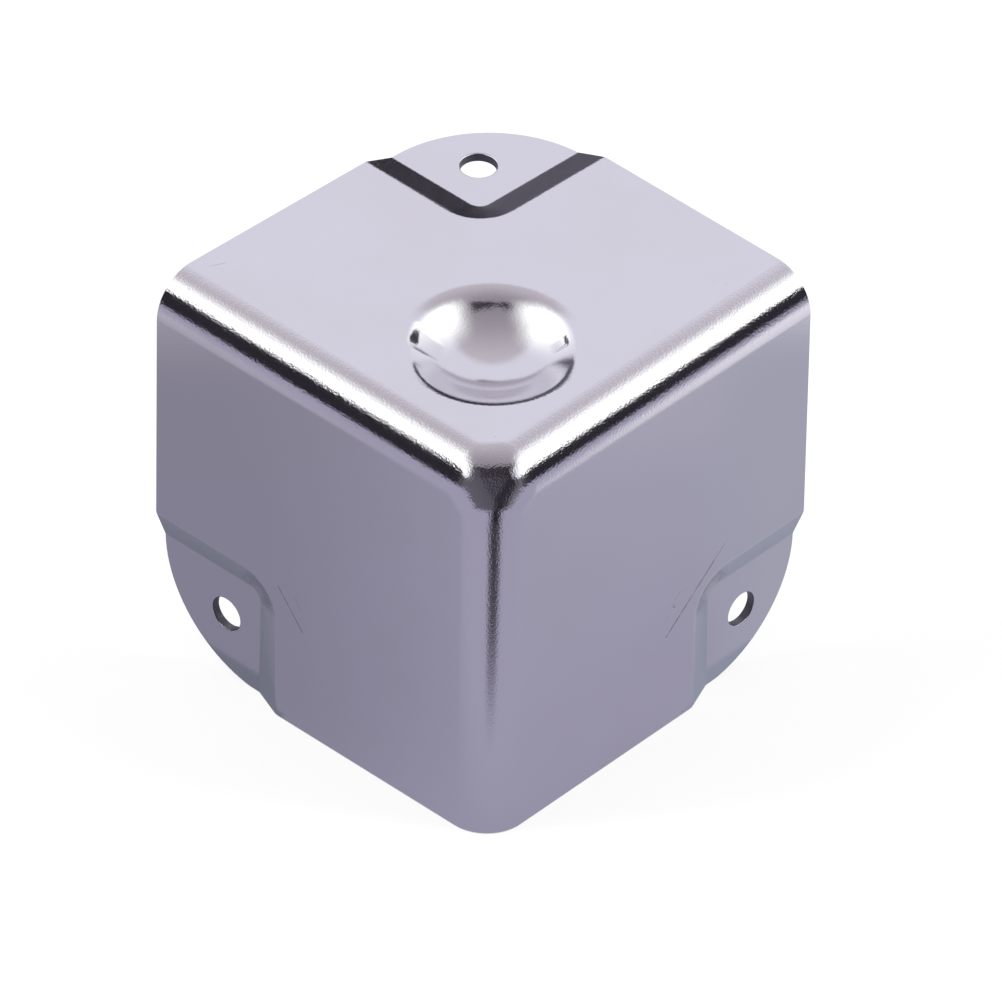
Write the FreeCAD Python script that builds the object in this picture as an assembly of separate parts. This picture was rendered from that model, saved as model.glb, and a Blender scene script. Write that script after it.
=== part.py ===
"""Flight case corner: one pressed sheet-steel shell with three square plates.

Millimetres, +Z up. The origin is the corner of the case: the point where the inner faces of the three plates
would meet. The case fills the octant towards -X, +Y and -Z, and the plates lie on its outside: the top plate
faces +Z, the side plate +X and the front plate -Y.
"""

import math
import os

import FreeCAD
import Part

# The sheet and its plates
SHEET = 1.0  # thickness of the sheet
PLATE_LENGTH = 50.0  # from the sharp outer corner to a plate's free edges
BEND_INSIDE_RADIUS = 4.0  # of the three bends, also where they round off the apex
APEX_SET_BACK = 1.0  # how far the flattened apex lies inside a ball of the bends' radius
TOP_TRIM_ANGLE = 3.15  # degrees by which the top plate's -X edge runs in towards its far corner

# The step that sets each tab in, so that the tab lies on the panel and the plate clears the case's edge trim
STEP_DEPTH = 1.5
STEP_SLOPE = 21.0  # degrees
STEP_BROW_RADIUS = 1.2  # inside radius of the bend at the top of the slope
STEP_FOOT_RADIUS = 0.6  # inside radius of the bend at the foot of the slope
STEP_CORNER_RADIUS = 1.3  # plan radius of the L-shaped foot line at its corner
TOP_TAB_WIDTH = 14.8  # from the plate's free edges to the foot line
SIDE_TAB_WIDTH = 13.5
FRONT_TAB_WIDTH = 14.2

# The rounded far corner of each plate
TOP_TAB_ROUND = 15.1
SIDE_TAB_ROUND = 13.7
FRONT_TAB_ROUND = 14.6

# The rivet hole in each tab: its size, and its inset from the two free edges
HOLE_DIAMETER = 4.1
HOLE_EDGE_ROUND = 0.2  # rolled-over edge that the punch leaves on the outside
TOP_HOLE_FROM_REAR = 9.3
TOP_HOLE_FROM_LEFT = 9.4
SIDE_HOLE_FROM_BOTTOM = 7.6
SIDE_HOLE_FROM_REAR = 8.1
FRONT_HOLE_FROM_LEFT = 9.2
FRONT_HOLE_FROM_BOTTOM = 8.2

# The round dish pressed into the top plate by a ball-nosed punch that leans over the plate's diagonal
DISH_FLOOR_RADIUS = 11.6  # of the ball-shaped floor
DISH_DEPTH = 4.15
DISH_LIP_RADIUS = 2.6  # inside radius of the bend at the lip
DISH_LEAN = 7.0  # degrees by which the punch leans towards the apex
DISH_FAR_WALL_SPARE = 1.0  # degrees that the far wall is flatter than where floor and lip would just meet
DISH_FROM_SIDE = 17.3  # lowest point, from the plane of the side plate
DISH_FROM_FRONT = 18.0  # lowest point, from the plane of the front plate

# Working allowances, which leave no trace on the part
SPARE = 6.0  # how far the untrimmed sheet runs past the free edges
CLEAR = 2.0  # how far a cutting shape stands out of the sheet
CLOSE = 0.01  # how near counts as the same point
TOLERANCE = 0.0001  # of the surfaces that a rolled ball leaves
ROLLING_BALL = 0  # the way of offsetting that rounds every edge and corner

X, Y, Z = FreeCAD.Vector(1, 0, 0), FreeCAD.Vector(0, 1, 0), FreeCAD.Vector(0, 0, 1)
OUTER_CORNER = FreeCAD.Vector(SHEET, -SHEET, SHEET)
BEND_OUTSIDE_RADIUS = BEND_INSIDE_RADIUS + SHEET
REACH = PLATE_LENGTH + SPARE


class Plate:
    """One plate, in its own frame: x and y run from the outer corner along its two bends, z points outwards."""

    def __init__(self, axes, tab_width, tab_round, hole_inset, trim_angle=0.0):
        self.placement = FreeCAD.Placement(OUTER_CORNER, FreeCAD.Rotation(*axes, "ZXY"))
        self.tab_width = tab_width
        self.tab_round = tab_round
        self.hole_x = PLATE_LENGTH - hole_inset[0]
        self.hole_y = PLATE_LENGTH - hole_inset[1]
        self.trim_angle = math.radians(trim_angle)

    def place(self, shape):
        """Returns the shape moved from the plate's frame to the part's frame."""
        return shape.transformed(self.placement.toMatrix())

    def far_corner(self):
        """The far corner before it is rounded. The trim angle starts where the bend ends."""
        trimmed = (PLATE_LENGTH - BEND_OUTSIDE_RADIUS) * math.tan(self.trim_angle)
        return vector(PLATE_LENGTH, PLATE_LENGTH - trimmed)


def vector(x, y, z=0.0):
    return FreeCAD.Vector(x, y, z)


def face_from(edges):
    return Part.Face(Part.Wire(edges))


def line(start, end):
    return Part.makeLine(start, end)


def arc(centre, radius, start, end):
    """An arc in the XZ plane about centre, from one angle to another, in degrees from +X towards +Z."""
    points = []
    for angle in (start, (start + end) / 2, end):
        turn = math.radians(angle)
        points.append(centre + vector(radius * math.cos(turn), 0, radius * math.sin(turn)))
    return Part.Arc(*points).toShape()


TOP = Plate(
    (Y, -X, Z), TOP_TAB_WIDTH, TOP_TAB_ROUND, (TOP_HOLE_FROM_REAR, TOP_HOLE_FROM_LEFT), TOP_TRIM_ANGLE
)
SIDE = Plate((-Z, Y, X), SIDE_TAB_WIDTH, SIDE_TAB_ROUND, (SIDE_HOLE_FROM_BOTTOM, SIDE_HOLE_FROM_REAR))
FRONT = Plate((-X, -Z, -Y), FRONT_TAB_WIDTH, FRONT_TAB_ROUND, (FRONT_HOLE_FROM_LEFT, FRONT_HOLE_FROM_BOTTOM))
PLATES = (TOP, SIDE, FRONT)


def step_profile(depth):
    """The section of the step's pocket in the XZ plane, at a level inside the sheet.

    x runs back from the corner centre of the foot line, and z is the height over the plate's outer plane. depth is
    how far inside the outer surface the section lies, so depth 0 is the outside of the sheet and depth SHEET its
    inside. The two bends of the sheet keep their centres, so the sheet is equally thick all along the slope.
    """
    slope = math.radians(STEP_SLOPE)
    brow_outside = STEP_BROW_RADIUS + SHEET
    brow_radius = brow_outside - depth
    foot_radius = STEP_FOOT_RADIUS + depth
    bends = brow_outside + STEP_FOOT_RADIUS
    slope_run = (STEP_DEPTH - bends * (1 - math.cos(slope))) / math.tan(slope)
    foot = vector(STEP_CORNER_RADIUS, 0, STEP_FOOT_RADIUS - STEP_DEPTH)
    brow = vector(STEP_CORNER_RADIUS + bends * math.sin(slope) + slope_run, 0, -brow_outside)
    foot_arc = arc(foot, foot_radius, -90, -90 + STEP_SLOPE)
    brow_arc = arc(brow, brow_radius, 90 + STEP_SLOPE, 90)
    floor_end = foot - vector(0, 0, foot_radius)
    floor_start = vector(0, 0, floor_end.z)
    brow_end = brow + vector(0, 0, brow_radius)
    return face_from(
        [
            line(floor_start, floor_end),
            foot_arc,
            line(foot_arc.Vertexes[-1].Point, brow_arc.Vertexes[0].Point),
            brow_arc,
            line(brow_end, vector(brow_end.x, 0, CLEAR)),
            line(vector(brow_end.x, 0, CLEAR), vector(0, 0, CLEAR)),
            line(vector(0, 0, CLEAR), floor_start),
        ]
    )


def step_pocket(plate, depth):
    """The air over a plate's tab and its L-shaped slope, in the plate's frame."""
    inset = PLATE_LENGTH - plate.tab_width + STEP_CORNER_RADIUS
    run = REACH + CLEAR - inset
    profile = step_profile(depth)
    # The arm along y slopes up towards -x. The arm along x slopes up towards -y and follows the trimmed edge.
    arm_y = profile.copy()
    arm_y.rotate(vector(0, 0), Z, 180)
    arm_y = arm_y.extrude(vector(0, run))
    arm_x = profile.copy()
    arm_x.rotate(vector(0, 0), Z, -90)
    arm_x = arm_x.extrude(vector(run, 0))
    arm_x.rotate(vector(0, 0), Z, -math.degrees(plate.trim_angle))
    corner = profile.revolve(vector(0, 0), Z, 360)
    floor = vector(0, 0, -STEP_DEPTH - depth)
    arm_end = vector(run * math.cos(plate.trim_angle), -run * math.sin(plate.trim_angle))
    plan = [floor, floor + arm_end, floor + vector(run, run), floor + vector(0, run), floor]
    tab = Part.Face(Part.makePolygon(plan)).extrude(Z * (STEP_DEPTH + depth + CLEAR))
    pocket = corner.fuse([arm_x, arm_y, tab]).removeSplitter()
    pocket.translate(vector(inset, inset))
    return pocket


def dish_punch(depth):
    """The leaning punch that leaves the dish in the top plate's frame, at a level inside the sheet.

    Its nose is a ball and its flank a cone. The dish is steepest on the side away from the apex, where the cone is
    all but gone between the ball and the lip.
    """
    lip_outside = DISH_LIP_RADIUS + SHEET
    ball = vector(0, 0, DISH_FLOOR_RADIUS - DISH_DEPTH)
    steepest = math.degrees(math.acos((ball.z + lip_outside) / (DISH_FLOOR_RADIUS + lip_outside)))
    flank = steepest - DISH_FAR_WALL_SPARE - DISH_LEAN
    nose = arc(ball, DISH_FLOOR_RADIUS + depth, -90, -90 + flank)
    nose_end = nose.Vertexes[-1].Point
    flank_run = PLATE_LENGTH / 2
    flank_end = nose_end + vector(flank_run, 0, flank_run * math.tan(math.radians(flank)))
    section = face_from(
        [
            nose,
            line(nose_end, flank_end),
            line(flank_end, vector(0, 0, flank_end.z)),
            line(vector(0, 0, flank_end.z), nose.Vertexes[0].Point),
        ]
    )
    punch = section.revolve(vector(0, 0), Z, 360)
    punch.rotate(ball, vector(1, -1), DISH_LEAN)
    punch.translate(vector(DISH_FROM_FRONT, DISH_FROM_SIDE))
    return punch


def press_dish(body, depth):
    """Cuts the dish into the body's top and rounds its rim to the lip."""
    body = body.cut(TOP.place(dish_punch(depth)))
    top = OUTER_CORNER.z - depth
    rim = []
    for edge in body.Edges:
        in_top = edge.BoundBox.ZMin > top - CLOSE and edge.BoundBox.ZMax < top + CLOSE
        if in_top and edge.isClosed():
            rim.append(edge)
    return body.makeFillet(DISH_LIP_RADIUS + SHEET - depth, rim)


def rounded_corner(depth):
    """Three faces, their bends and the flattened apex, as a solid at a level inside the sheet.

    A ball rolled round a core leaves it. The core is the same at every level, so the sheet is equally thick.
    """
    outwards = vector(1, -1, 1)
    core_corner = OUTER_CORNER - outwards * BEND_OUTSIDE_RADIUS
    apex = core_corner - outwards.normalize() * APEX_SET_BACK
    core = Part.makeBox(REACH, REACH, REACH, core_corner + vector(-REACH, 0, -REACH))
    core = core.cut(Part.makeCylinder(2 * REACH, REACH, apex, outwards))
    rolled = core.makeOffsetShape(BEND_OUTSIDE_RADIUS - depth, TOLERANCE, join=ROLLING_BALL)
    side = REACH + CLEAR
    return rolled.common(Part.makeBox(side, side, side, OUTER_CORNER + vector(-REACH, -CLEAR, -REACH)))


def block(depth):
    """The solid under the sheet's surface at a level inside the sheet, with its steps and its dish."""
    body = rounded_corner(depth)
    for plate in PLATES:
        body = body.cut(plate.place(step_pocket(plate, depth)))
    return press_dish(body, depth)


def outline(plate, low, high):
    """A plate's plan in its own frame, a square with a rounded far corner, as a prism between two heights."""
    far = plate.far_corner() + Z * low
    plan = [
        vector(-CLEAR, -CLEAR, low),
        vector(PLATE_LENGTH, -CLEAR, low),
        far,
        vector(BEND_OUTSIDE_RADIUS, PLATE_LENGTH, low),
        vector(-CLEAR, PLATE_LENGTH, low),
        vector(-CLEAR, -CLEAR, low),
    ]
    prism = Part.Face(Part.makePolygon(plan)).extrude(Z * (high - low))
    middle = far + Z * ((high - low) / 2)
    far_edge = [edge for edge in prism.Edges if edge.CenterOfMass.isEqual(middle, CLOSE)]
    return prism.makeFillet(plate.tab_round, far_edge)


def trimmings(plate):
    """What the trimming tool takes off a plate: the sheet outside its outline, down past the tab."""
    low = -(STEP_DEPTH + SHEET + CLEAR)
    side = REACH + 2 * CLEAR
    sheet = Part.makeBox(side, side, CLEAR - low, vector(-CLEAR, -CLEAR, low))
    return plate.place(sheet.cut(outline(plate, low, CLEAR)))


def rivet_hole(plate):
    """The punched hole, with the rolled-over edge on the outside of the tab."""
    radius = HOLE_DIAMETER / 2
    tab_top = -STEP_DEPTH
    end = tab_top - SHEET - CLEAR
    roll = vector(radius + HOLE_EDGE_ROUND, 0, tab_top - HOLE_EDGE_ROUND)
    section = face_from(
        [
            line(vector(0, 0, end), vector(radius, 0, end)),
            line(vector(radius, 0, end), vector(radius, 0, roll.z)),
            arc(roll, HOLE_EDGE_ROUND, 180, 90),
            line(vector(roll.x, 0, tab_top), vector(roll.x, 0, CLEAR)),
            line(vector(roll.x, 0, CLEAR), vector(0, 0, CLEAR)),
            line(vector(0, 0, CLEAR), vector(0, 0, end)),
        ]
    )
    punch = section.revolve(vector(0, 0), Z, 360)
    punch.translate(vector(plate.hole_x, plate.hole_y))
    return plate.place(punch)


def corner_shell():
    shell = block(0).cut(block(SHEET))
    for plate in PLATES:
        shell = shell.cut(trimmings(plate))
        shell = shell.cut(rivet_hole(plate))
    return shell.removeSplitter()


def save(shape, name):
    solids = shape.Solids
    shape = solids[0] if len(solids) == 1 else shape
    shape.exportStep(f"parts/{name}.step")
    box = shape.optimalBoundingBox(True, False)
    print(name, "solids", len(solids), "valid", shape.isValid(), "volume", round(shape.Volume, 1))
    print("box", round(box.XLength, 3), round(box.YLength, 3), round(box.ZLength, 3))
    print("centroid", [round(value, 3) for value in shape.CenterOfMass])


os.makedirs("parts", exist_ok=True)
save(corner_shell(), "corner_shell")
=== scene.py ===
"""Flight case corner: the finish of its bright plating, and the studio that it is photographed in.

Metres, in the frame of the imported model: the case lies towards -X, +Y and -Z of the origin. Directions
around the object are given as they are seen from the camera: a heading in degrees from straight ahead,
positive to the right, and a height in degrees above the horizon.
"""

import math

import bmesh
import bpy
from mathutils import Matrix, Vector


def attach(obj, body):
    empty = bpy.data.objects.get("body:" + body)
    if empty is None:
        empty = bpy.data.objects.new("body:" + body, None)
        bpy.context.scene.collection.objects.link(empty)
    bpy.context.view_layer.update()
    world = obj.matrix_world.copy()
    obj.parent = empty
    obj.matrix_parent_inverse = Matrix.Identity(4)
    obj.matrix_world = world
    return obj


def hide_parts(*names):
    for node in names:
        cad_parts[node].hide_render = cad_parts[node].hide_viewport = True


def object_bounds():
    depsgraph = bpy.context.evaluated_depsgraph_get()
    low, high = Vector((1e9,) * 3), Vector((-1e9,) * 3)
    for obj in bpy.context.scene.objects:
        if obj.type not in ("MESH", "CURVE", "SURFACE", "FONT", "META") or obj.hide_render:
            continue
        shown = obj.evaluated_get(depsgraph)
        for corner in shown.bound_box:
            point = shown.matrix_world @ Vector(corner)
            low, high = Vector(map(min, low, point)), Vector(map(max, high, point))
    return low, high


# Camera
VIEW_AZIMUTH = math.radians(42.43)
VIEW_ELEVATION = math.radians(39.24)
VIEW_ROLL = math.radians(1.12)
VIEW_DISTANCE = 1.8519
VIEW_WIDTH = 0.10903  # what the picture spans at the object
VIEW_RIGHT = 0.002154  # from the object's middle to the picture's middle
VIEW_DOWN = 0.004363
SENSOR = 36.0  # millimetres, as the camera's lens is

# Shell
WELD = 1e-6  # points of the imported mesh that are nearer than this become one
CREASE = math.radians(30)  # edges that turn by more than this stay crisp
SHEER = 0.7  # a hole's wall has a normal with less than this share along the hole's axis
EDGE_AREA = 0.0006  # square metres: the sheet's edge has less than this, and each of its sides has more
CUT = "cut"  # the attribute that marks the cut faces

# Room
TENT_RADIUS = 3.0
TENT_SEGMENTS = 96
TENT_RINGS = 48
FLOOR_SIZE = 6.0
FLOOR_WHITE = 0.9
FLOOR_GLOW = 0.72  # share of the floor's white that takes no shadow
MAT_SIZE = 2 * TENT_RADIUS
MAT_LIFT = 0.0001
BEND_FOOT = 0.0342  # how far the upright bend stands in front of the object's middle
WORLD_LIGHT = 0.55  # strength of the world's light. Where it is seen directly, the world is white

# Lamps: name, heading and height. They light the floor and what isn't mirror-like.
LAMPS = (("left_lamp", -90, 45), ("right_lamp", 90, 42))
LAMP_DISTANCE = 1.2
LAMP_SIZE = 0.7
LAMP_POWER = 12.0

OPAQUE = (1.0,)  # what a colour has as its last part
WHITE = (1.0, 1.0, 1.0) + OPAQUE


class Shader:
    """Builds one node tree. Every step returns a socket that the next one can take."""

    def __init__(self, tree):
        self.tree = tree
        self.tree.nodes.clear()

    def node(self, kind, inputs=(), **settings):
        made = self.tree.nodes.new(kind)
        for name, value in settings.items():
            setattr(made, name, value)
        for key, value in dict(inputs).items():
            self.feed(made.inputs[key], value)
        return made

    def feed(self, socket, value):
        if isinstance(value, bpy.types.NodeSocket):
            self.tree.links.new(value, socket)
        else:
            socket.default_value = value

    def math(self, operation, *values, clamp=False):
        made = self.node("ShaderNodeMath", dict(enumerate(values)), operation=operation, use_clamp=clamp)
        return made.outputs[0]

    def product(self, first, *others):
        for other in others:
            first = self.math("MULTIPLY", first, other)
        return first

    def vector(self, operation, *values):
        made = self.node("ShaderNodeVectorMath", dict(enumerate(values)), operation=operation)
        return made.outputs["Value" if operation in ("DISTANCE", "DOT_PRODUCT", "LENGTH") else "Vector"]

    def parts(self, vector):
        """A vector's x, y and z."""
        return self.node("ShaderNodeSeparateXYZ", {0: vector}).outputs

    def ramp(self, value, low, high, to_low=0.0, to_high=1.0, smooth=True):
        kind = "SMOOTHSTEP" if smooth else "LINEAR"
        inputs = {"Value": value, "From Min": low, "From Max": high, "To Min": to_low, "To Max": to_high}
        return self.node("ShaderNodeMapRange", inputs, interpolation_type=kind).outputs[0]

    def mix(self, share, first, second):
        made = self.node("ShaderNodeMix", {0: share, 6: first, 7: second}, data_type="RGBA")
        return made.outputs[2]

    def noise(self, place, scale, detail=2.0, roughness=0.5):
        inputs = {"Vector": place, "Scale": scale, "Detail": detail, "Roughness": roughness}
        return self.node("ShaderNodeTexNoise", inputs).outputs["Fac"]

    def show(self, surface):
        self.node("ShaderNodeOutputMaterial", {"Surface": surface.outputs[0]})

    def glow(self, colour):
        self.show(self.node("ShaderNodeEmission", {"Color": colour, "Strength": 1.0}))


def new_material(name):
    material = bpy.data.materials.new(name)
    material.use_nodes = True
    return material, Shader(material.node_tree)


def light(tone):
    """The light that shows as this screen tone, 0 to 255, by the sRGB formula."""
    value = tone / 255
    return value / 12.92 if value <= 0.04045 else ((value + 0.055) / 1.055) ** 2.4


# The plating. Its base colour is measured on the evenly lit top plate.
PLATING = (0.74, 0.73, 0.765)


def shown(red, green, blue):
    """The light that the plating reflects as this screen colour."""
    tones = (light(red), light(green), light(blue))
    return tuple(tone / tint for tone, tint in zip(tones, PLATING)) + OPAQUE


# Faint stains in the plating: how many to a metre, their tint and where in the noise it sets in, and the
# roughness of the clean and of the stained plating and where it turns from one to the other
STAIN_SCALE = 60.0
STAIN_TINT = (0.735, 0.72, 0.75)
STAIN_TINT_RANGE = (0.4, 0.7)
ROUGHNESS = (0.09, 0.13)
ROUGHNESS_RANGE = (0.3, 0.7)
# The slow unevenness of the sheet
WAVE_SCALE = 90.0
WAVE_DEPTH = 0.00002
# The grain that the bending left in the plating: how many grains to a metre, and its depth where the sheet
# is flat or pressed into the dish, and where it is bent
GRAIN_SCALE = 4200.0
GRAIN_DEPTH = (0.000006, 0.000021)
FLAT = 0.9995  # a normal's largest part where a plate ends and a bend begins
BENT = 0.985  # and where the grain has its full depth
DISH_MIDDLE = (-0.0163, 0.017, -0.001)
DISH_EDGE = (0.0100, 0.0112)
# The ledges that the press left under the lip at both ends of the dish: the way there from the dish's
# middle, the cosines of where it has faded out and where it is full, how far from the middle it ends on the
# inside, is deepest and starts on the outside, and its depth
LEDGES = (
    ((-0.853, -0.522), (0.964, 0.989), (0.0052, 0.0079, 0.0094), 0.00024),
    ((0.567, 0.823), (0.988, 0.9975), (0.0064, 0.0077, 0.0086), 0.00011),
)
# Scratches: one end, the other end, half width and darkness
SCRATCHES = (
    ((0.001, 0.0344, -0.0299), (0.001, 0.0270, -0.0362), 0.00011, 0.85),
    ((0.001, 0.0364, -0.0282), (0.001, 0.0344, -0.0299), 0.00009, 0.35),
    ((0.001, 0.0292, -0.0310), (0.001, 0.0283, -0.0318), 0.00010, 0.16),
    ((0.001, 0.0276, -0.0327), (0.001, 0.0267, -0.0341), 0.00010, 0.16),
    ((-0.0306, -0.001, -0.0307), (-0.0269, -0.001, -0.0351), 0.00010, 0.6),
    ((-0.0281, -0.001, -0.0309), (-0.0272, -0.001, -0.0322), 0.00014, 0.12),
    ((-0.0471, 0.0050, 0.001), (-0.0462, 0.0068, 0.001), 0.00010, 0.22),
    ((-0.0330, 0.0394, 0.001), (-0.0316, 0.0437, 0.001), 0.00010, 0.30),
)
# A scratch comes and goes: how often to a metre, where in the noise, and the share that is always there
BREAK_SCALE = 900.0
BREAK_RANGE = (0.30, 0.55)
BREAK_LEAST = 0.35
# A pit, and specks: place, radius, darkness and depth
SPECKS = (
    ((0.001, 0.0281, -0.0325), 0.00034, 0.0, 0.00012),
    ((0.001, 0.0300, -0.0485), 0.00012, 0.7, 0.0),
    ((-0.0050, 0.0053, 0.001), 0.00012, 0.35, 0.0),
    ((-0.0057, 0.0056, 0.001), 0.00009, 0.35, 0.0),
    ((-0.0063, 0.0414, 0.001), 0.00012, 0.30, 0.0),
    ((-0.0049, 0.0418, 0.001), 0.00010, 0.30, 0.0),
)
MARK_CORE = 0.25  # share of a mark's radius or half width at which it is full
MARK_COLOUR = (0.10, 0.09, 0.11)
# The punched holes: a point on each axis, and the direction of the axis
HOLES = (
    ((-0.0396, 0.0397, 0.0), "Z"),
    ((-0.0398, 0.0, -0.0408), "Y"),
    ((0.0, 0.0409, -0.0414), "X"),
)
BORE = 0.00212  # a face whose middle is nearer to the axis than this belongs to the hole's wall
CUT_COLOUR = (0.17, 0.165, 0.18)
CUT_ROUGHNESS = 0.42


def from_line(shader, place, start, end):
    """How far a place is from the nearest point of a straight line between two points."""
    reach = Vector(end) - Vector(start)
    beside = shader.vector("SUBTRACT", place, start)
    onwards = shader.vector("DOT_PRODUCT", beside, tuple(reach))
    share = shader.math("DIVIDE", onwards, reach.length_squared)
    share = shader.ramp(share, 0.0, 1.0, smooth=False)
    nearest = shader.node("ShaderNodeVectorMath", {0: tuple(reach), 3: share}, operation="SCALE").outputs[0]
    return shader.vector("LENGTH", shader.vector("SUBTRACT", beside, nearest))


def bent_share(shader, place):
    """1 where the sheet is bent, and 0 where it is flat or pressed into the dish."""
    normal = shader.node("ShaderNodeTexCoord").outputs["Normal"]
    x, y, z = shader.parts(shader.vector("ABSOLUTE", normal))
    straight = shader.math("MAXIMUM", shader.math("MAXIMUM", x, y), z)
    from_dish = shader.vector("DISTANCE", place, DISH_MIDDLE)
    return shader.product(shader.ramp(straight, FLAT, BENT), shader.ramp(from_dish, *DISH_EDGE))


def ledge(shader, place, way, ends, stretch, depth):
    """How deep one of the press's ledges in the dish is at a place."""
    inner, deepest, outer = stretch
    outwards = shader.vector("MULTIPLY", shader.vector("SUBTRACT", place, DISH_MIDDLE), (1.0, 1.0, 0.0))
    reach = shader.vector("LENGTH", outwards)
    cosine = shader.math("DIVIDE", shader.vector("DOT_PRODUCT", outwards, way + (0.0,)), reach)
    wall = shader.ramp(reach, outer, deepest, 0.0, depth)
    back = shader.ramp(reach, inner, deepest)
    return shader.product(wall, back, shader.ramp(cosine, *ends))


def darkened(shader, bare, share, darkness):
    """How bare the plating still is, once a mark has covered its share of it."""
    return shader.product(bare, shader.math("SUBTRACT", 1.0, shader.product(share, darkness)))


def plated_steel():
    material, shader = new_material("plated_steel")
    place = shader.node("ShaderNodeTexCoord").outputs["Object"]

    grain = shader.noise(place, GRAIN_SCALE, detail=1.0, roughness=0.6)
    grain_depth = shader.ramp(bent_share(shader, place), 0.0, 1.0, *GRAIN_DEPTH, smooth=False)
    wave = shader.noise(place, WAVE_SCALE, detail=2.0)
    height = shader.math("ADD", shader.product(grain, grain_depth), shader.product(wave, WAVE_DEPTH))
    for one in LEDGES:
        height = shader.math("SUBTRACT", height, ledge(shader, place, *one))

    broken = shader.ramp(shader.noise(place, BREAK_SCALE, detail=1.0), *BREAK_RANGE, BREAK_LEAST, 1.0)
    bare = 1.0
    for start, end, half_width, darkness in SCRATCHES:
        reach = from_line(shader, place, start, end)
        share = shader.product(shader.ramp(reach, half_width, half_width * MARK_CORE), broken)
        bare = darkened(shader, bare, share, darkness)
    for centre, radius, darkness, depth in SPECKS:
        share = shader.ramp(shader.vector("DISTANCE", place, centre), radius, radius * MARK_CORE)
        bare = darkened(shader, bare, share, darkness)
        height = shader.math("SUBTRACT", height, shader.product(share, depth))
    bump = shader.node("ShaderNodeBump", {"Strength": 1.0, "Distance": 1.0, "Height": height})

    cut = shader.node("ShaderNodeAttribute", attribute_name=CUT).outputs["Fac"]
    stain = shader.noise(place, STAIN_SCALE, detail=4.0, roughness=0.6)
    plating = shader.mix(shader.ramp(stain, *STAIN_TINT_RANGE), PLATING + OPAQUE, STAIN_TINT + OPAQUE)
    marked = shader.mix(bare, MARK_COLOUR + OPAQUE, plating)
    colour = shader.mix(cut, marked, CUT_COLOUR + OPAQUE)
    roughness = shader.ramp(stain, *ROUGHNESS_RANGE, *ROUGHNESS)
    roughness = shader.math("MAXIMUM", roughness, shader.product(cut, CUT_ROUGHNESS))
    surface = shader.node(
        "ShaderNodeBsdfPrincipled",
        {"Base Color": colour, "Metallic": 1.0, "Roughness": roughness, "Normal": bump.outputs[0]},
    )
    shader.show(surface)
    return material


def cut_faces(surface):
    """The faces that the punch and the shear left: the walls of the holes, and the sheet's own edge.

    The edge is found as a small skin, where a skin is what hangs together with no crisp edge in between.
    """
    walls = set()
    for point, axis in HOLES:
        along_axis = "XYZ".index(axis)
        for face in surface.faces:
            beside = face.calc_center_median() - Vector(point)
            beside[along_axis] = 0
            if beside.length < BORE and abs(face.normal[along_axis]) < SHEER:
                walls.add(face.index)
    unseen = set(range(len(surface.faces)))
    surface.faces.ensure_lookup_table()
    while unseen:
        start = unseen.pop()
        skin, front = {start}, [surface.faces[start]]
        while front:
            for edge in front.pop().edges:
                for other in edge.link_faces:
                    if edge.smooth and other.index in unseen:
                        unseen.discard(other.index)
                        skin.add(other.index)
                        front.append(other)
        if sum(surface.faces[index].calc_area() for index in skin) < EDGE_AREA:
            walls |= skin
    return walls


def smooth_shell(node, material):
    """The node's own surface, welded so that plates, bends and dish shade as one sheet with crisp edges."""
    surface = bmesh.new()
    surface.from_mesh(node.data)
    bmesh.ops.remove_doubles(surface, verts=surface.verts, dist=WELD)
    for edge in surface.edges:
        edge.smooth = edge.calc_face_angle(math.pi) < CREASE
    for face in surface.faces:
        face.smooth = True
    surface.faces.index_update()
    walls = cut_faces(surface)
    mesh = bpy.data.meshes.new("plated_shell")
    surface.to_mesh(mesh)
    surface.free()
    if "custom_normal" in mesh.attributes:
        mesh.attributes.remove(mesh.attributes["custom_normal"])
    cut = mesh.attributes.new(CUT, "FLOAT", "FACE")
    for index in walls:
        cut.data[index].value = 1.0
    mesh.materials.clear()
    mesh.materials.append(material)
    shell = bpy.data.objects.new("plated_shell", mesh)
    bpy.context.scene.collection.objects.link(shell)
    normals = shell.modifiers.new("flat_plates", "WEIGHTED_NORMAL")
    normals.mode = "FACE_AREA"
    normals.keep_sharp = True
    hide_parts(node.name)
    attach(shell, "root")


def camera_axes():
    """The picture's right, up and back directions."""
    right = Vector((math.cos(VIEW_AZIMUTH), math.sin(VIEW_AZIMUTH), 0))
    ahead = Vector((-math.sin(VIEW_AZIMUTH), math.cos(VIEW_AZIMUTH), 0))
    back = -ahead * math.cos(VIEW_ELEVATION) + Vector((0, 0, math.sin(VIEW_ELEVATION)))
    roll = Matrix.Rotation(VIEW_ROLL, 3, back)
    return roll @ right, roll @ back.cross(right), back


def add_camera(middle):
    right, up, back = camera_axes()
    data = bpy.data.cameras.new("camera")
    data.sensor_width = SENSOR
    data.lens = SENSOR * VIEW_DISTANCE / VIEW_WIDTH
    data.clip_end = 2 * FLOOR_SIZE
    camera = bpy.data.objects.new("camera", data)
    turn = Matrix((right, up, back)).transposed().to_4x4()
    place = middle + right * VIEW_RIGHT - up * VIEW_DOWN + back * VIEW_DISTANCE
    camera.matrix_world = Matrix.Translation(place) @ turn
    bpy.context.scene.collection.objects.link(camera)
    bpy.context.scene.camera = camera


def face_camera(thing, middle):
    """Turns a stage piece so that its own +Y is the heading straight ahead."""
    thing.matrix_world = Matrix.Translation(middle) @ Matrix.Rotation(VIEW_AZIMUTH, 4, "Z")


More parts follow.
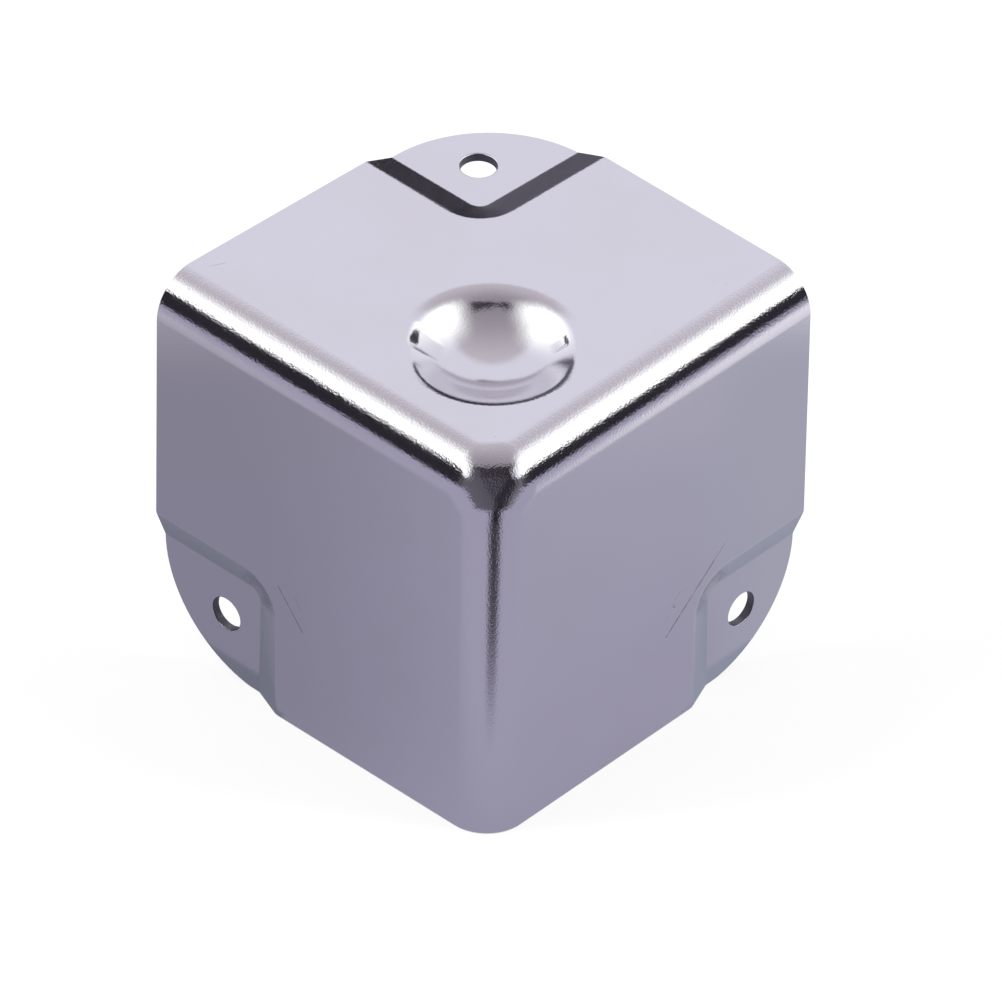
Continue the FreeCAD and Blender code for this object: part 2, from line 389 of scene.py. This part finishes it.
def add_square(name, size, material, centre):
    half = size / 2
    corners = [(-half, -half, 0), (half, -half, 0), (half, half, 0), (-half, half, 0)]
    mesh = bpy.data.meshes.new(name)
    mesh.from_pydata(corners, [], [(0, 1, 2, 3)])
    mesh.materials.append(material)
    square = bpy.data.objects.new(name, mesh)
    bpy.context.scene.collection.objects.link(square)
    face_camera(square, centre)
    return square


def only_in_reflections(thing):
    """Leaves a stage piece to what mirrors it. The camera, the table and the shadows don't see it."""
    thing.visible_camera = False
    thing.visible_diffuse = False
    thing.visible_shadow = False
    thing.visible_transmission = False
    thing.visible_volume_scatter = False


def soft_band(shader, value, low, high, soft):
    """1 between low and high, fading to 0 over a soft width that is centred on each of them."""
    enter = shader.ramp(value, low - soft / 2, low + soft / 2)
    leave = shader.ramp(value, high - soft / 2, high + soft / 2)
    return shader.math("SUBTRACT", enter, leave, clamp=True)


def heading_of(shader, sideways, forwards):
    return shader.math("DEGREES", shader.math("ARCTAN2", sideways, forwards))


def around(shader, heading, centre):
    """The heading as seen from a card's centre, from -180 to 180 degrees."""
    return shader.math("WRAP", shader.math("SUBTRACT", heading, centre), 180.0, -180.0)


def along(shader, value, stops):
    """Runs through numbers or colours, from one stop to the next."""
    result = stops[0][1]
    for (near, before), (far, after) in zip(stops, stops[1:]):
        share = shader.ramp(value, near, far)
        if isinstance(after, tuple):
            result = shader.mix(share, result, after)
        else:
            result = shader.math("ADD", result, shader.product(share, after - before))
    return result


# The tent. Colours are the screen colours that the plating shows of it.
BACKDROP = (210, 207, 222)
CEILING_AHEAD = (190, 183, 194)
CEILING_BEHIND = (139, 132, 142)
CEILING_TURN = (0.8, -0.6)  # how far ahead of the zenith, as a share of the radius, each colour is full
CEILING_FROM = 51  # height of its border, in the middle of the fade
CEILING_FADE = 12
# The cards: colour, heading, half width at CARD_HEIGHT, side fade, narrowing per degree of height, lower and
# upper end and the fade there
TENT_CARDS = (
    ((288, 288, 290), -99, 43, 44, 0.34, -90, 57, 32),  # left softbox
    ((280, 280, 282), 94, 37.5, 44, 0.48, -90, 58.5, 32),  # right softbox
    ((84, 80, 91), -172, 26, 24, 0, -90, 60.5, 4),  # the dark side that the camera stands on
    ((46, 43, 51), 164, 17, 20, 0, -90, 61.5, 3),  # the camera and its stand
    ((52, 49, 57), 174, 36, 12, 0, 54, 60.3, 2),  # the dark edge over the camera
)
CARD_HEIGHT = 30
# The dark gap between the cards and the table: heading, its upper edge and its colour
GAP = (
    (-180, 34, (86, 82, 93)),
    (-140, 26, (92, 89, 101)),
    (-119, 34, (42, 39, 47)),
    (-98, 33.5, (38, 35, 43)),
    (-60, 16, (60, 57, 66)),
    (-36, 9, (84, 80, 92)),
    (-22, 14, (86, 82, 94)),
    (-8, 20, (86, 82, 94)),
    (5, 22, (46, 43, 51)),
    (14, 13, (50, 47, 56)),
    (30, 2, (60, 57, 66)),
    (40, 3, (56, 53, 62)),
    (46, 17, (46, 43, 51)),
    (57, 17, (46, 43, 51)),
    (61, 6, (44, 41, 49)),
    (100, 26.5, (40, 37, 45)),
    (122, 24, (60, 57, 66)),
    (138, 26, (108, 104, 116)),
    (152, 30, (44, 41, 49)),
    (166, 34, (42, 39, 47)),
    (180, 34, (86, 82, 93)),
)
GAP_FADE = 5


def add_tent(middle):
    """The room as the plating sees it: a bright tent with two softboxes and a dark side."""
    material, shader = new_material("tent")
    spot = shader.node("ShaderNodeTexCoord").outputs["Object"]
    right, ahead, up = shader.parts(shader.vector("NORMALIZE", spot))
    heading = heading_of(shader, right, ahead)
    height = shader.math("DEGREES", shader.math("ARCSINE", up))
    ceiling = shader.mix(shader.ramp(ahead, *CEILING_TURN), shown(*CEILING_AHEAD), shown(*CEILING_BEHIND))
    under = shader.ramp(height, CEILING_FROM - CEILING_FADE / 2, CEILING_FROM + CEILING_FADE / 2)
    colour = shader.mix(under, shown(*BACKDROP), ceiling)
    for tone, centre, half_width, side_fade, narrowing, low, high, fade in TENT_CARDS:
        beside = shader.math("ABSOLUTE", around(shader, heading, centre))
        lean = shader.product(shader.math("SUBTRACT", height, CARD_HEIGHT), narrowing)
        edge = shader.math("ADD", beside, lean)
        across = shader.ramp(edge, half_width + side_fade / 2, half_width - side_fade / 2)
        share = shader.product(across, soft_band(shader, height, low, high, fade))
        colour = shader.mix(share, colour, shown(*tone))
    top = along(shader, heading, [(stop, edge) for stop, edge, tone in GAP])
    gap = along(shader, heading, [(stop, shown(*tone)) for stop, edge, tone in GAP])
    over_gap = shader.math("SUBTRACT", height, top)
    shader.glow(shader.mix(shader.ramp(over_gap, -GAP_FADE / 2, GAP_FADE / 2), gap, colour))
    bpy.ops.mesh.primitive_uv_sphere_add(segments=TENT_SEGMENTS, ring_count=TENT_RINGS, radius=TENT_RADIUS)
    tent = bpy.context.object
    tent.name = "tent"
    tent.data.materials.append(material)
    face_camera(tent, middle)
    only_in_reflections(tent)


# What the mat under the object shows in the plating, by distance from the object's middle: left and right of
# the object. Its grey near the object is painted shade of the object on the table.
MAT_LEFT = (
    (0.03, (129, 126, 146)),
    (0.050, (130, 127, 147)),
    (0.080, (130, 127, 144)),
    (0.100, (162, 157, 171)),
    (0.18, (186, 181, 194)),
    (0.35, (140, 135, 147)),
    (0.55, (36, 33, 41)),
)
MAT_RIGHT = (
    (0.03, (151, 147, 168)),
    (0.060, (156, 153, 173)),
    (0.080, (165, 162, 179)),
    (0.098, (207, 204, 216)),
    (0.17, (224, 220, 233)),
    (0.24, (205, 201, 215)),
    (0.40, (36, 33, 41)),
)
MAT_SIDE_TURN = 0.03  # how far from the middle line the sides have their own colours
# The colour in front of the object, and how far ahead of the middle it sets in and is full
MAT_FRONT = (154, 150, 172)
MAT_FRONT_FROM = (-0.011, -0.056)
# The right side's colour behind the object, how far ahead of the middle it sets in and is full, and how far
# from the middle it has ended and is still full
MAT_RIGHT_AHEAD = (157, 157, 174)
MAT_AHEAD_FROM = (-0.010, 0.002)
MAT_AHEAD_TO = (0.098, 0.082)
# The shade on the mat beside the foot of each upright plate, which the steps of the tabs reflect: the side
# that the plate is on, how far out the strip of shade lies from the middle, how far along the plate it runs,
# and its colour
LEFT, RIGHT = -1, 1
FOOT_SHADES = (
    (LEFT, (0.0215, 0.0256), (0.006, 0.041), (109, 111, 126)),
    (RIGHT, (0.0215, 0.0252), (0.006, 0.041), (137, 141, 158)),
)
FOOT_FADE = 0.0008
# The dark patch on the mat towards the camera: its colours and how far out it turns from one to the other,
# its heading and width, and where it sets in. Distances are from the foot of the upright bend.
PATCH_NEAR = (66, 62, 72)
PATCH_FAR = (30, 28, 34)
PATCH_TURN = (0.035, 0.070)
PATCH_HEADING = 170
PATCH_HALF_WIDTH = 12
PATCH_FADE = 16
PATCH_FROM = (0.012, 0.040)


def plate_axes(side):
    """The level directions out of an upright plate and along it, in the mat's own axes."""
    sine, cosine = math.sin(VIEW_AZIMUTH), math.cos(VIEW_AZIMUTH)
    if side == LEFT:
        return (-sine, -cosine, 0.0), (-cosine, sine, 0.0)
    return (cosine, -sine, 0.0), (sine, cosine, 0.0)


def mat_tone_and_shade(shader, spot):
    """The mat's colour by distance from the object's middle, on each side of it, grey near the object as
    painted shade.
    """
    right_of, ahead_of = shader.parts(spot)[:2]
    distance = shader.vector("LENGTH", spot)
    left = along(shader, distance, [(stop, shown(*tone)) for stop, tone in MAT_LEFT])
    right = along(shader, distance, [(stop, shown(*tone)) for stop, tone in MAT_RIGHT])
    ahead = shader.product(shader.ramp(ahead_of, *MAT_AHEAD_FROM), shader.ramp(distance, *MAT_AHEAD_TO))
    right = shader.mix(ahead, right, shown(*MAT_RIGHT_AHEAD))
    sides = shader.mix(shader.ramp(right_of, -MAT_SIDE_TURN, MAT_SIDE_TURN), left, right)
    return shader.mix(shader.ramp(ahead_of, *MAT_FRONT_FROM), sides, shown(*MAT_FRONT))


def foot_shade(shader, spot, side, strip, length):
    """How much a spot of the mat lies in the shade beside a plate's foot."""
    out_of_plate, along_plate = plate_axes(side)
    out = shader.vector("DOT_PRODUCT", spot, out_of_plate)
    onwards = shader.vector("DOT_PRODUCT", spot, along_plate)
    beside = soft_band(shader, out, *strip, FOOT_FADE)
    return shader.product(beside, soft_band(shader, onwards, *length, FOOT_FADE))


def add_mat(middle, level):
    """The table as the plating sees it, as a glowing sheet: grey near the object, which is painted shade of
    the object, with a dark patch towards the camera.
    """
    material, shader = new_material("mat")
    spot = shader.node("ShaderNodeTexCoord").outputs["Object"]
    # Grey near the object: painted shade of the object on the table
    colour = mat_tone_and_shade(shader, spot)
    for side, strip, length, tone in FOOT_SHADES:
        colour = shader.mix(foot_shade(shader, spot, side, strip, length), colour, shown(*tone))
    # A dark patch on the mat towards the camera, darker further out
    from_bend = shader.vector("ADD", spot, (0.0, BEND_FOOT, 0.0))
    heading = heading_of(shader, *shader.parts(from_bend)[:2])
    across = soft_band(
        shader, around(shader, heading, PATCH_HEADING), -PATCH_HALF_WIDTH, PATCH_HALF_WIDTH, PATCH_FADE
    )
    reach = shader.vector("LENGTH", from_bend)
    dark_patch = shader.mix(shader.ramp(reach, *PATCH_TURN), shown(*PATCH_NEAR), shown(*PATCH_FAR))
    shader.glow(shader.mix(shader.product(across, shader.ramp(reach, *PATCH_FROM)), colour, dark_patch))
    mat = add_square("mat", MAT_SIZE, material, Vector((middle.x, middle.y, level + MAT_LIFT)))
    only_in_reflections(mat)


def seen_directly(shader):
    """1 for what the camera, a mirror or a glass shows of a surface, and 0 for the light that it gives."""
    path = shader.node("ShaderNodeLightPath").outputs
    seen = shader.math("ADD", path["Is Camera Ray"], path["Is Glossy Ray"])
    return shader.math("ADD", seen, path["Is Transmission Ray"], clamp=True)


def add_floor(middle, level):
    """The white table. Part of its white is its own, so that it stays white and still takes a shadow."""
    material, shader = new_material("floor")
    diffuse = shader.node("ShaderNodeBsdfDiffuse", {"Color": (FLOOR_WHITE,) * 3 + OPAQUE})
    glow = shader.node("ShaderNodeEmission", {"Color": WHITE, "Strength": 1.0})
    share = shader.product(seen_directly(shader), FLOOR_GLOW)
    shader.show(shader.node("ShaderNodeMixShader", {0: share, 1: diffuse.outputs[0], 2: glow.outputs[0]}))
    floor = add_square("floor", FLOOR_SIZE, material, Vector((middle.x, middle.y, level)))


def light_world():
    world = bpy.data.worlds.new("studio")
    world.use_nodes = True
    bpy.context.scene.world = world
    shader = Shader(world.node_tree)
    strength = shader.ramp(seen_directly(shader), 0.0, 1.0, WORLD_LIGHT, 1.0, smooth=False)
    background = shader.node("ShaderNodeBackground", {"Color": WHITE, "Strength": strength})
    shader.node("ShaderNodeOutputWorld", {"Surface": background.outputs[0]})


def add_lamp(name, heading, height, middle):
    data = bpy.data.lights.new(name, "AREA")
    data.shape = "DISK"
    data.size = LAMP_SIZE
    data.energy = LAMP_POWER
    lamp = bpy.data.objects.new(name, data)
    bpy.context.scene.collection.objects.link(lamp)
    turn = VIEW_AZIMUTH - math.radians(heading)
    ahead = Vector((-math.sin(turn), math.cos(turn), 0))
    out = ahead * math.cos(math.radians(height)) + Vector((0, 0, math.sin(math.radians(height))))
    lamp.location = middle + out * LAMP_DISTANCE
    lamp.rotation_euler = out.to_track_quat("Z", "Y").to_euler()
    lamp.visible_glossy = False


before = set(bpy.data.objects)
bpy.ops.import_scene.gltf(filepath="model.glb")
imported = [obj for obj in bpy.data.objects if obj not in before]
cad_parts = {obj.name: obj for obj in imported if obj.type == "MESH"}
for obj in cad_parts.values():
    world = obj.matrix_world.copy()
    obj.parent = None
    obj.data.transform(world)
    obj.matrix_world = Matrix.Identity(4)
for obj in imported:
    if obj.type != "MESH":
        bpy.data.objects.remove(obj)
cad_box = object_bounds()
lowest, highest = Vector(cad_box[0]), Vector(cad_box[1])
middle = (lowest + highest) / 2

smooth_shell(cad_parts["corner_shell"], plated_steel())

add_camera(middle)
light_world()
add_floor(middle, lowest.z)
add_mat(middle, lowest.z)
add_tent(middle)
for name, heading, height in LAMPS:
    add_lamp(name, heading, height, middle)

bpy.context.scene.view_settings.view_transform = "Standard"
